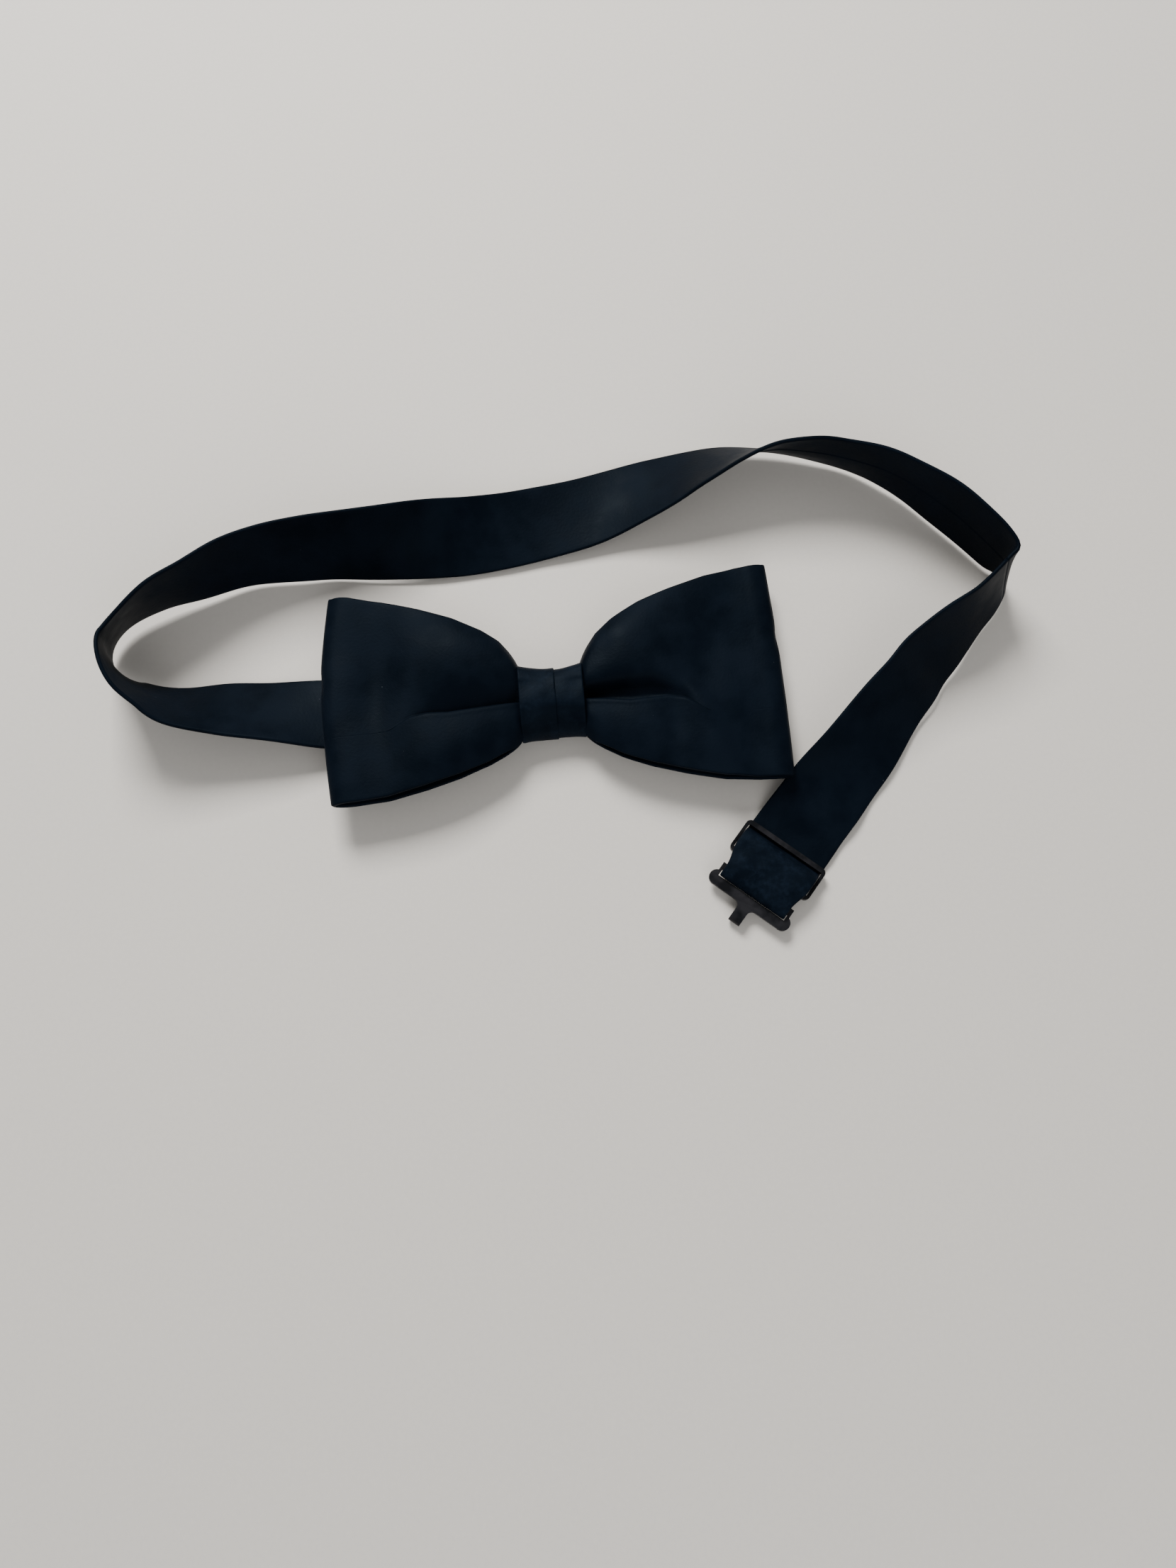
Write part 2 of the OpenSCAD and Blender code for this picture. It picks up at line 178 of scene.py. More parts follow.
def surface_normals(grid, closed=False):
    """Unit normals of a grid of points. closed joins its last row to its first."""
    if closed:
        wrapped = np.concatenate([grid[-2:-1], grid, grid[1:2]])
        along = np.gradient(wrapped, axis=0)[1:-1]
    else:
        along = np.gradient(grid, axis=0)
    across = np.gradient(grid, axis=1)
    n = np.cross(along, across)
    return n / np.maximum(np.linalg.norm(n, axis=2, keepdims=True), 1e-9)


def cloth(name, grid, half_thickness, material, closed=False, rear_lap=None):
    """A strip of cloth as a watertight mesh round a grid of points in millimetres, with rows along
    the strip. half_thickness is 0 at both long edges. closed joins the last row to the first.
    rear_lap is how much thicker each column is on the rear face, where a seam's lap lies."""
    rows, columns = grid.shape[:2]
    n = surface_normals(grid, closed)
    offset = n * half_thickness[..., None]
    top = (grid + offset).reshape(-1, 3)
    if rear_lap is not None:
        offset = offset + n * rear_lap[None, :, None]
    low = (grid - offset)[:, 1:-1].reshape(-1, 3)
    vertices = np.vstack([top, low]) * MM
    d = np.r_[0, np.cumsum(np.linalg.norm(np.diff(grid[:, columns // 2], axis=0), axis=1))]
    w = np.r_[0, np.cumsum(np.linalg.norm(np.diff(grid[rows // 2], axis=0), axis=1))]

    def front(i, j):
        return i * columns + j

    def rear(i, j):
        if j in (0, columns - 1):
            return front(i, j)
        return rows * columns + i * (columns - 2) + j - 1

    faces = []
    uvs = []
    last = rows if closed else rows - 1
    sides = 2 * last * (columns - 1)
    for i in range(last):
        k = (i + 1) % rows
        u0, u1 = d[i], d[i + 1] if i + 1 < rows else 2 * d[i] - d[i - 1]
        for j in range(columns - 1):
            faces.append((front(i, j), front(k, j), front(k, j + 1), front(i, j + 1)))
            uvs.append(((u0, w[j]), (u1, w[j]), (u1, w[j + 1]), (u0, w[j + 1])))
            faces.append((rear(i, j), rear(i, j + 1), rear(k, j + 1), rear(k, j)))
            uvs.append(((u0, -w[j]), (u0, -w[j + 1]), (u1, -w[j + 1]), (u1, -w[j])))
    if not closed:
        for i, turn in ((0, 1), (rows - 1, -1)):
            for j in range(columns - 1):
                ring = [front(i, j), front(i, j + 1), rear(i, j + 1), rear(i, j)][::turn]
                ring = list(dict.fromkeys(ring))
                faces.append(tuple(ring))
                uvs.append(tuple((d[i], w[j]) for _ in ring))
    mesh = bpy.data.meshes.new(name)
    mesh.from_pydata(vertices.tolist(), [], faces)
    layer = mesh.uv_layers.new(name="cloth")
    flat = [c * MM for face in uvs for pair in face for c in pair]
    layer.data.foreach_set("uv", flat)
    mesh.polygons.foreach_set("use_smooth", [k < sides for k in range(len(mesh.polygons))])
    mesh.materials.append(material)
    mesh.validate()
    mesh.update()
    piece = bpy.data.objects.new(name, mesh)
    bpy.context.scene.collection.objects.link(piece)
    return piece


# --- Materials ------------------------------------------------------------------------


# Places of outputs and inputs in Blender's nodes
OBJECT_OUTPUT = 3
POINTINESS_OUTPUT = 7
MIX_OUTPUT = 2
MIX_A = 6
MIX_B = 7


class Nodes:
    """A material's node tree, built one node at a time. Textures use the object's own coordinates."""

    def __init__(self, name):
        self.material = bpy.data.materials.new(name)
        self.material.use_nodes = True
        self.tree = self.material.node_tree
        self.shader = self.tree.nodes["Principled BSDF"]
        self.place = self.add("ShaderNodeTexCoord")

    def add(self, kind, **values):
        node = self.tree.nodes.new(kind)
        for key, value in values.items():
            if hasattr(node, key):
                setattr(node, key, value)
            else:
                node.inputs[key.replace("_", " ")].default_value = value
        return node

    def link(self, source, target, output=0):
        self.tree.links.new(source.outputs[output], target)

    def texture(self, kind, **values):
        node = self.add(kind, **values)
        self.link(self.place, node.inputs["Vector"], OBJECT_OUTPUT)
        return node

    def noise(self, scale, detail=3.0):
        return self.texture("ShaderNodeTexNoise", Scale=scale, Detail=detail)

    def mapped(self, source, low, high, out_low, out_high, output=0):
        node = self.add("ShaderNodeMapRange")
        self.link(source, node.inputs["Value"], output)
        for key, value in (("From Min", low), ("From Max", high), ("To Min", out_low), ("To Max", out_high)):
            node.inputs[key].default_value = value
        return node

    def math(self, operation, a, b):
        node = self.add("ShaderNodeMath", operation=operation)
        for k, value in enumerate((a, b)):
            if isinstance(value, (int, float)):
                node.inputs[k].default_value = value
            else:
                self.link(value, node.inputs[k])
        return node

    def mix(self, factor, a, b):
        """A colour between a and b. Either may be a node."""
        node = self.add("ShaderNodeMix", data_type="RGBA")
        if isinstance(factor, (int, float)):
            node.inputs[0].default_value = factor
        else:
            self.link(factor, node.inputs[0])
        for k, value in ((MIX_A, a), (MIX_B, b)):
            if isinstance(value, tuple):
                node.inputs[k].default_value = (*value, 1)
            else:
                self.link(value, node.inputs[k], MIX_OUTPUT)
        return node

    def finish(self, base, **values):
        """Joins the base colour, and sets the shader's other values. Any value may be a node."""
        self.link(base, self.shader.inputs["Base Color"], MIX_OUTPUT)
        for key, value in values.items():
            target = self.shader.inputs[key.replace("_", " ")]
            if isinstance(value, (int, float, tuple)):
                target.default_value = value
            else:
                self.link(value, target)

    def bump(self, height, strength, distance, after=None):
        node = self.add("ShaderNodeBump", Strength=strength, Distance=distance)
        self.link(height, node.inputs["Height"])
        if after:
            self.link(after, node.inputs["Normal"])
        return node


LINT = (0.085, 0.095, 0.11)


def satin(name, colour, light, wear=0.0):
    """Satin: fine ribs across the strip, a soft grain, a few specks of lint and a broad sheen.
    wear is how much of it is rubbed to a fuzz."""
    m = Nodes(name)
    blotch = m.noise(160, 3)
    cloudy = m.noise(38, 2)
    tone = m.math("ADD", m.math("MULTIPLY", blotch, 0.5), m.math("MULTIPLY", cloudy, 0.5))
    base = m.mix(m.mapped(tone, 0.40, 0.62, 0, 1), colour, light)
    cell = m.texture("ShaderNodeTexVoronoi", Scale=420)
    chosen = m.add("ShaderNodeSeparateColor")
    m.link(cell, chosen.inputs[0], 1)
    speck = m.math("MULTIPLY", m.mapped(cell, 0.035, 0.06, 1, 0), m.mapped(chosen, 0.955, 0.975, 0, 1))
    base = m.mix(m.math("MULTIPLY", speck, 0.55), base, LINT)
    if wear:
        patch = m.mapped(m.noise(260, 4), 0.42, 0.62, 0, wear)
        fuzz = m.mapped(m.noise(900, 5), 0.4, 0.7, 0.2, 1)
        base = m.mix(m.math("MULTIPLY", patch, fuzz), base, tuple(3.5 * c for c in light))
    ribs = m.add("ShaderNodeTexWave", Scale=1100, Distortion=1.5, Detail=2, bands_direction="DIAGONAL")
    m.link(m.add("ShaderNodeUVMap", uv_map="cloth"), ribs.inputs["Vector"])
    ribbed = m.bump(ribs, 0.08, 0.00003)
    grained = m.bump(m.noise(1400, 4), 0.35, 0.00012, ribbed)
    m.finish(
        base, Roughness=m.mapped(blotch, 0.3, 0.7, 0.42, 0.56), Specular_IOR_Level=0.028,
        Specular_Tint=(0.6, 0.8, 1, 1), Sheen_Weight=0.008, Sheen_Roughness=0.45,
        Sheen_Tint=(0.45, 0.6, 0.9, 1), Normal=m.bump(cloudy, 0.35, 0.0006, grained))
    return m.material


def woven(name, colour, light):
    """Matt woven cloth for interlining and lining: two sets of threads, at right angles."""
    m = Nodes(name)
    warp = m.texture("ShaderNodeTexWave", Scale=420, Distortion=1, bands_direction="X")
    weft = m.texture("ShaderNodeTexWave", Scale=420, Distortion=1, bands_direction="Y")
    height = m.math("ADD", m.math("MULTIPLY", warp, 0.5), m.math("MULTIPLY", weft, 0.5))
    base = m.mix(m.mapped(m.noise(300, 4), 0.35, 0.65, 0, 1), colour, light)
    m.finish(base, Roughness=0.9, Normal=m.bump(height, 0.4, 0.0001))
    return m.material


def thread(name, colour, light):
    """Twisted sewing thread: fine slanting ridges and a slight shine."""
    m = Nodes(name)
    twist = m.texture("ShaderNodeTexWave", Scale=900, bands_direction="DIAGONAL")
    fray = m.noise(1500, 3)
    m.finish(
        m.mix(fray, colour, light), Roughness=m.mapped(fray, 0.3, 0.7, 0.5, 0.7),
        Normal=m.bump(twist, 0.5, 0.00005))
    return m.material


def black_metal(name):
    """Black coated steel: glossy, a little smeared, and rubbed grey on its edges."""
    m = Nodes(name)
    smear = m.noise(220, 4)
    shape = m.add("ShaderNodeNewGeometry")
    edge = m.mapped(shape, 0.53, 0.60, 0, 1, POINTINESS_OUTPUT)
    rubbed = m.math("MULTIPLY", edge, m.mapped(smear, 0.4, 0.6, 0.2, 0.9))
    m.finish(
        m.mix(rubbed, (0.0022, 0.0028, 0.0038), (0.018, 0.018, 0.021)),
        Roughness=m.mapped(smear, 0.3, 0.7, 0.12, 0.20), Specular_IOR_Level=0.07,
        Normal=m.bump(m.noise(900, 2), 0.12, 0.0001))
    return m.material


NAVY = (0.0014, 0.0028, 0.0054)
NAVY_LIGHT = (0.0028, 0.0050, 0.0092)
SATIN = satin("satin", NAVY, NAVY_LIGHT)
WORN_SATIN = satin("worn_satin", NAVY, NAVY_LIGHT, wear=0.32)
KNOT_SATIN = satin("knot_satin", NAVY, tuple(1.2 * c for c in NAVY_LIGHT), wear=0.15)
INTERLINING = woven("interlining", (0.014, 0.014, 0.016), (0.024, 0.024, 0.027))
LINING = woven("lining", (0.008, 0.009, 0.012), (0.014, 0.015, 0.019))
THREAD = thread("thread", (0.004, 0.005, 0.008), (0.010, 0.012, 0.017))
METAL = black_metal("black_metal")


def finish_cad(node, material, bevel=0.0):
    """Gives a CAD node that stays in sight its material, and rounded edges where it has a bevel."""
    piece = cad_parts[node]
    piece.data.materials.clear()
    piece.data.materials.append(material)
    if bevel:
        rounding = piece.modifiers.new("rounded_edges", "BEVEL")
        rounding.width = bevel * MM
        rounding.segments = 3
        rounding.limit_method = "ANGLE"
        rounding.angle_limit = math.radians(40)
        rounding.harden_normals = False


# --- Wings ----------------------------------------------------------------------------

# Outline of a wing: distance from the knot's centre, top edge, bottom edge.
WING = np.array([
    (1, 5.6, -5.6), (6.4, 5.8, -5.6), (7.2, 8.4, -7.6), (8.2, 11.4, -9.1), (9.6, 13.9, -10.5),
    (12, 16.8, -12.0), (16, 19.7, -14.2), (23, 23.3, -16.9), (31, 26.2, -19.2), (40, 29, -21.3),
    (48, 30.8, -22.0), (56, 31.7, -22.3),
])
WING_STEP = 0.7      # between the rows of a wing's mesh
WING_ACROSS = 78     # places across it
WING_ROLL = 0.55     # radius of its long edges
WAIST_END = 6.4      # where a wing comes out of its gathers


class Wing:
    """One wing's shape. side is -1 for the left wing and 1 for the right one, and rise scales its
    height. loop is its side view from the waist's front, round the fold, to the waist's back: distance
    from the knot's centre, and height. lip is where the front's pleat folds over: distance from the
    knot's centre, and y. pocket is the width of the hollow above the lip, and depth is its depth. The
    pleat fades out between the two distances in fade. brow is where the hollow's upper side ends, as a
    share of the way to the top edge, and brow_rise is its height. lobes gives the front's bulges and
    valleys, and fold_shape how much further the outer fold reaches at each y."""

    def __init__(
            self, name, side, rise, loop, lip, pocket, depth, fade, brow, brow_rise, lobes, fold_shape,
            seed):
        self.name = name
        self.side = side
        self.rise = rise
        self.loop = loop
        self.lip = lip
        self.pocket = pocket
        self.depth = depth
        self.fade = fade
        self.brow = brow
        self.brow_rise = brow_rise
        self.lobes = lobes
        self.fold_shape = fold_shape
        self.seed = seed


def left_lobes(s, y):
    z = -1.7 * hump(s, 42, 6) * hump(y, 6, 20)
    z += 0.6 * hump(s, 24, 9) * hump(y, 13, 9)
    z += 0.6 * hump(s, 28, 9) * hump(y, -10, 7)
    return z


def right_lobes(s, y):
    crest = 34 - 0.40 * (y + 2)
    z = 0.8 * hump(s, crest, 3.6) * ramp(-y, -4, 3)
    z -= 0.6 * hump(s, 28.5, 3) * hump(y, -9, 6)
    z -= 0.45 * hump(s, 46.5, 4.5)
    z += 0.6 * hump(s, 20, 7) * hump(y, 14, 7)
    z -= 0.9 * hump(s, 37 + 0.25 * y, 5) * hump(y, 9, 9)
    return z


def left_fold(y):
    middle = 8
    return (
        1.0 - np.where(y > middle, 2.5, 1.4) * (np.abs(y - middle) / 24) ** 1.6
        - 0.35 * hump(y, middle + 0.5, 2.5))


def right_fold(y):
    return 0.6 * (1 - ((y - 2) / 27) ** 2) - 0.3 * hump(y, 13, 2.6)


LEFT = Wing(
    "left_wing", side=-1, rise=0.995,
    loop=[
        (1, 8.2), (6.6, 8.2), (9, 9.0), (13, 9.9), (20, 10.6), (32, 11.0), (42, 11.0), (49.5, 10.9),
        (52.6, 10.3), (54.0, 8.9), (52.6, 7.4), (49, 6.7), (42, 6.4), (32, 6.1), (20, 5.6), (12, 5.0),
        (6.6, 4.6), (1, 4.6),
    ],
    lip=[(6, 0.3), (8, 0.1), (16, -0.9), (25, -1.9), (30, -1.7), (34, -2.4), (39, -5), (56, -6)],
    pocket=[(6, 1.4), (8, 1.6), (14, 2.2), (20, 2.3), (26, 2.2), (32, 1.8), (38, 1.5)],
    depth=2.0, fade=(22, 40), brow=0.22, brow_rise=0.15,
    lobes=left_lobes, fold_shape=left_fold, seed=3)
RIGHT = Wing(
    "right_wing", side=1, rise=1.04,
    loop=[
        (1, 8.2), (6.6, 8.2), (9, 8.9), (13, 9.6), (20, 10.1), (32, 9.8), (42, 9.0), (49.5, 8.5),
        (53.6, 8.1), (55.6, 6.9), (54.2, 5.6), (50, 5.4), (42, 5.5), (32, 5.6), (20, 5.4), (12, 4.9),
        (6.6, 4.6), (1, 4.6),
    ],
    lip=[
        (6, -0.2), (8, -0.2), (14, -1.1), (19, -2.0), (24, -1.8), (28, -1.5), (32, -2.4), (37, -6), (56, -6),
    ],
    pocket=[(6, 1.9), (8, 2.6), (13, 3.6), (18, 4.6), (24, 4.6), (28, 3.0), (33, 1.8), (38, 1.5)],
    depth=3.2, fade=(23, 38), brow=0.10, brow_rise=0.5,
    lobes=right_lobes, fold_shape=right_fold, seed=5)

# The back layer has one shallow pleat, which stands out backwards.
BACK_LIP = 0.5
BACK_POCKET = 2.4
BACK_DEPTH = -0.9
BACK_RAISED = -0.5
BACK_FADE = (14, 30)


def at(table, s):
    """A table's value at each distance from the knot's centre."""
    table = np.array(table, float)
    return np.interp(s, table[:, 0], table[:, 1])


# Where the points of a pleated section lie across the cloth, from its bottom edge to its top edge.
SECTION = [-1, -0.80, -0.48, -0.16, -0.08, 0.0, 0.08, 0.16, 0.34, 0.64, 0.87, 1]


def pleated_section(wing, s, front, top, low):
    """y and height of a section's points at each distance from the knot, between its two edges."""
    lip = np.where(front, at(wing.lip, s), BACK_LIP)
    pocket = np.where(front, at(wing.pocket, s), BACK_POCKET)
    depth = np.where(front, wing.depth, BACK_DEPTH)
    raised = np.where(front, 1.0, BACK_RAISED)
    fade = np.where(front, ramp(s, *wing.fade), ramp(s, *BACK_FADE))
    pleat = ramp(s, WAIST_END, 8.6) * (1 - fade)
    crest = lip + pocket
    y_points = np.stack([
        low, low * 0.80 + lip * 0.2, (low + lip) / 2, lip - 1.5, lip - 0.1, lip - 0.55 * pleat,
        lip + 0.35 * pocket, lip + 0.8 * pocket, top * wing.brow + crest * (1 - wing.brow),
        top * 0.58 + crest * 0.42, top * 0.86 + crest * 0.14, top], 1)
    shelf = 0.6 * raised
    flat = 0 * s
    z_points = pleat[:, None] * np.stack([
        flat, 0.40 * raised, 0.80 * raised, 0.75 * raised, shelf, shelf - 0.55 * depth - 0.3, -depth,
        -0.85 * depth, wing.brow_rise * raised, 0.95 * raised, 0.5 * raised, flat], 1)
    droop = (1.3 * hump(s, 8.4, 3) + 0.7 * hump(s, 16, 9) + 0.25) * np.where(front, 1, -0.8)
    droop = droop * ramp(s, WAIST_END, 8)
    for k, part in ((0, 1), (1, 0.35), (-2, 0.35), (-1, 1)):
        z_points[:, k] -= part * droop
    return y_points, z_points


def wing_grid(wing, width_share=1.0):
    """Points of a wing's cloth, with rows from the waist's front round the fold to the waist's back, and
    half its thickness at each point. width_share narrows it for the interlining."""
    path = smooth(wing.loop, 12)
    path = evenly(np.c_[path[:, 0], np.zeros(len(path)), path[:, 1]], WING_STEP)
    s, z = path[:, 0], path[:, 2]
    front = np.arange(len(s)) < np.argmax(s)
    grow = 1 + (wing.rise - 1) * ramp(s, 8, 20)
    top = np.interp(s, WING[:, 0], WING[:, 1]) * grow
    low = np.interp(s, WING[:, 0], WING[:, 2]) * grow
    y_points, z_points = pleated_section(wing, s, front, top, low)
    place, share = across_steps(26, WING_ROLL, WING_ACROSS)
    y = through(place, SECTION, y_points)
    dz = through(place, SECTION, z_points)
    middle = (top + low)[:, None] / 2
    y = middle + (y - middle) * width_share
    face = front * ramp(s, 9, 16) * (1 - ramp(s, 50, 53))
    dz = dz + face[:, None] * wing.lobes(s[:, None], y)
    way = np.where(front, 1, -1)[:, None]
    dz += 0.10 * ripples(s[:, None] * way, y, wing.seed, 16) * ramp(s, 9, 20)[:, None]
    x = s[:, None] + ramp(s, 46, 53)[:, None] * wing.fold_shape(y)
    grid = np.stack([wing.side * x, y, z[:, None] + dz], 2)
    thick = (0.34 + 0.22 * ramp(s, 14, 34))[:, None] * share[None, :]
    if wing.side > 0:
        grid = grid[:, ::-1]
        thick = thick[:, ::-1]
    return grid, thick


def place_cloth(pieces):
    """Each piece stands for a CAD node on the bow: it hangs on the bow and that node is hidden. The slot
    given with each piece is not used.
    """
    for piece, node, slot in pieces:
        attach(piece, "bow")
        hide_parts(node)


def add_wing(wing):
    """A wing's satin tube, and the interlining inside it."""
    grid, thick = wing_grid(wing)
    piece = cloth(wing.name + "_cloth", grid, thick, SATIN)
    core_grid, core_thick = wing_grid(wing, width_share=0.97)
    core = cloth(wing.name + "_core", core_grid[3:-3], core_thick[3:-3] * 0.5, INTERLINING)
    place_cloth(((piece, wing.name + "_satin", "satin"), (core, wing.name + "_interlining", "interlining")))


# --- Knot -----------------------------------------------------------------------------

# Section of the knot, anticlockwise from the middle of its back, seen from +X: y and z.
KNOT_SECTION = [
    (0, 0.25), (3.5, 0.25), (6.0, 0.5), (7.2, 1.9), (7.9, 4.2), (8.2, 6.6), (8.0, 8.7), (6.9, 10.3),
    (5.2, 11.2), (3.4, 11.6), (0.6, 11.9), (-1.8, 11.7), (-3.2, 11.0), (-5.0, 9.7), (-6.5, 8.1),
    (-7.6, 6.2), (-7.8, 4.2), (-7.1, 1.9), (-6.0, 0.5), (-3.5, 0.25), (0, 0.25),
]
KNOT_HALF = 7.8      # half of the knot's width
KNOT_STEP = 0.35     # between the rows of its mesh
KNOT_FLOOR = 0.2     # lowest point of its upper fold


def knot_grid(x0, x1, proud, seed):
    """A band round the knot from x0 to x1, standing proud of the section by this much."""
    section = np.array(KNOT_SECTION)
    closed = np.vstack([section[-4:-1], section, section[1:4]])
    path = smooth(closed, 8)[24:-24]
    path = evenly(np.c_[np.zeros(len(path)), path], KNOT_STEP)[:, 1:]
    place, share = across_steps((x1 - x0) / 2, 0.35, 30)
    x = (x0 + x1) / 2 + place * (x1 - x0) / 2
    tangent = np.gradient(path, axis=0)
    outward = np.c_[tangent[:, 1], -tangent[:, 0]]
    outward /= np.linalg.norm(outward, axis=1, keepdims=True)
    flare = (x / KNOT_HALF) ** 2
    front = ramp(path[:, 1], 1.5, 6)[:, None]
    upper = ramp(outward[:, 0], 0, 0.8)[:, None]
    lower = ramp(-outward[:, 0], 0, 0.8)[:, None]
    length = np.arange(len(path))[:, None] * KNOT_STEP
    bulge = proud + front * (upper * (0.3 + 1.25 * flare) + lower * (-0.5 + 1.2 * flare))
    bulge = bulge + 0.10 * front * ripples(x[None, :], length, seed, 7)
    grid = np.zeros((len(path), len(x), 3))
    grid[..., 0] = x
    grid[..., 1] = path[:, None, 0] + outward[:, None, 0] * bulge
    grid[..., 2] = path[:, None, 1] + outward[:, None, 1] * bulge
    return grid[:-1], share


def knot_layer(name, x0, x1, proud, seed, half_thickness, material, floor=None):
    """One closed layer of the knot, as a piece and its grid. floor is the lowest height of its grid."""
    grid, share = knot_grid(x0, x1, proud, seed)
    if floor is not None:
        grid[:, :, 2] = np.maximum(grid[:, :, 2], floor)
    return cloth(name, grid, np.tile(half_thickness * share, (len(grid), 1)), material, closed=True), grid


def add_knot():
    """The knot's two satin folds, one over the other, and the lining under them."""
    inset = KNOT_HALF - 1.2
    under, under_grid = knot_layer("knot_under_fold", 0.4 - KNOT_HALF, KNOT_HALF, -0.30, 11, 0.27, KNOT_SATIN)
    over, _ = knot_layer("knot_over_fold", -KNOT_HALF, 1.0, 0.10, 12, 0.2, KNOT_SATIN, KNOT_FLOOR)
    lining, _ = knot_layer("knot_inside", -inset, inset, -0.85, 13, 0.15, LINING)
    place_cloth((
        (under, "knot_band", "satin"), (over, "knot_band", "satin"), (lining, "knot_lining", "lining")))


def add_gather_thread():
    """Four turns of thread round the waist of the bow, inside the knot."""
    turns = 4
    pitch = 0.55
    half_height, half_depth, middle = 6.3, 2.8, 6.4
    angle = np.linspace(0, 2 * math.pi * turns, 60 * turns)
    squareness = 2 / 3.5
    c, s = np.cos(angle), np.sin(angle)
    y = half_height * np.sign(c) * np.abs(c) ** squareness
    z = middle + half_depth * np.sign(s) * np.abs(s) ** squareness
    x = pitch * (angle / (2 * math.pi) - turns / 2)
    coil = tube("waist_thread", evenly(np.stack([x, y, z], 1), 0.45), 0.17, THREAD)
    place_cloth(((coil, "gather_thread", "thread"),))


# --- Neckband -------------------------------------------------------------------------

# The route from the knot to the hook: x, y, height of the centre line, and the lean of the
# strap, which is 0 where it lies flat and 90 where it stands on edge.
ROUTE = [
    (-1, 0, 1.95, 0), (-8, -0.2, 1.9, 0), (-20, 0.5, 1.6, 2), (-30, 1.5, 1.8, 4),
    (-40, 2.5, 2.2, 6), (-48, 3, 2.6, 9), (-56, 3.5, 3.2, 14), (-68, 4.5, 5, 25),
    (-80, 5.5, 6.5, 33), (-90, 6.5, 8, 44), (-96, 8.5, 9.5, 58), (-101, 11.5, 11.5, 72),
    (-105, 16.5, 12.5, 90), (-106.5, 22.5, 12.5, 105), (-103, 28.5, 12.5, 108),
    (-95, 34.5, 12.5, 99), (-86, 38.5, 11.5, 90), (-77, 42.5, 11, 81),
    (-68, 44.5, 10.5, 73), (-58, 45.5, 10, 66), (-48, 46, 9.5, 60), (-38, 46.5, 8.5, 49),
    (-28, 47.5, 6.5, 35), (-18, 48.5, 4.5, 22), (-8, 50, 3.2, 12), (2, 52, 2.6, 6),
    (12, 54, 2.6, 0), (22, 56.5, 3.5, -10), (32, 59, 5.5, -22), (42, 61.5, 7.5, -35),
    (52, 63.5, 9.5, -50), (62, 64, 10.5, -63), (72, 62.5, 11, -72), (80, 60, 11, -76),
    (88, 56, 11.5, -82), (95, 51, 11.5, -86), (102, 44.5, 11.5, -92),
    (108, 37.5, 11.5, -93), (113, 30.5, 11.5, -90), (115.5, 25.5, 11, -80),
    (112, 20, 10.5, -75), (106, 14.5, 10.2, -71), (99, 9, 9.7, -60), (92, 3, 8.7, -49),
    (85, -4.5, 7.7, -42), (77, -13, 6.2, -33), (70, -20.5, 4.3, -21), (63, -28, 2.6, -8),
    (58, -33.3, 1.8, -3),
]
# The straight end, through the slider to the hook: place along it, and height.
END_RUN = [
    (-20, 1.1), (-17.8, 0.75), (-16.2, 0.72), (-15.2, 0.86), (-14.2, 1.8), (-13.4, 3.2),
    (-12.5, 4.3), (-11, 4.75), (-9.4, 4.7), (-7.6, 4.6), (-5.8, 4.4),
]
END_AT = np.array([42.5, -51.0])
END_WAY = math.radians(229)
END_ALONG = np.array([math.cos(END_WAY), math.sin(END_WAY)])
END_ACROSS = np.array([-END_ALONG[1], END_ALONG[0]])
# From the slider over the pad, down through the hook's slot and back below to the slider's bar.
PAD_RUN = [
    (-7.6, 4.75), (-5.6, 4.75), (-3.7, 4.62), (-2.1, 4.35), (-1.1, 3.9), (-0.85, 3.3), (-1.2, 2.6),
    (-1.5, 1.9), (-2.3, 1.25), (-3.5, 1.0), (-5.0, 0.95), (-6.6, 0.88), (-8.2, 0.78), (-9.8, 0.74),
    (-11.1, 0.8), (-12.1, 1.35), (-12.4, 2.2), (-12.1, 3.0), (-11.1, 3.5), (-10.2, 3.35),
]
BAND_WIDTH = 20.0
BAND_THICK = 1.0
KNOT_WIDTH = 11.2                # the strap's width where the knot gathers it
HOOK_WIDTH = 18.0                # and in the hook's slot
END_FROM = 15.8                  # the strap's last piece starts this far behind END_AT, under a bar
RIGHT_TURN = (113.5, 22.5)       # x and y of the bend where the strap's first piece ends


def end_point(along, z):
    """A point of the route on the straight end, at this place along it."""
    x, y = END_AT + END_ALONG * along
    return (x, y, z, 0.0)


def band_route():
    """The whole strap, finely, and where its last part starts, which is straight and close-set."""
    points = ROUTE + [end_point(*p) for p in END_RUN[:-2] + PAD_RUN]
    fine = evenly(smooth(points, 14), 0.12)
    far = np.linalg.norm(fine[:, :2] - END_AT, axis=1)
    before_return = len(fine) * 19 // 20
    start = int(np.argmin(np.abs(far[:before_return] - END_FROM)))
    run = evenly(fine[: start + 1], 1.0)
    tail = evenly(fine[start:], 0.33)
    return np.vstack([run, tail[1:]]), len(run) - 1


def band_frames(route, end_start):
    """Directions across the strap and out of its face, at each point of the route."""
    c = route[:, :3]
    along = np.gradient(c, axis=0)
    along /= np.linalg.norm(along, axis=1, keepdims=True)
    level = np.c_[-along[:, 1], along[:, 0], np.zeros(len(c))]
    level[end_start:] = [*END_ACROSS, 0]
    level /= np.linalg.norm(level, axis=1, keepdims=True)
    rise = np.cross(along, level)
    lean = np.radians(route[:, 3])[:, None]
    across = np.cos(lean) * level + np.sin(lean) * rise
    return across, np.cross(along, across)


# Extra places across the strap, so that the lap of the seam along its back is crisp.
SEAM = (0.0, 0.02, 0.04, 0.09)


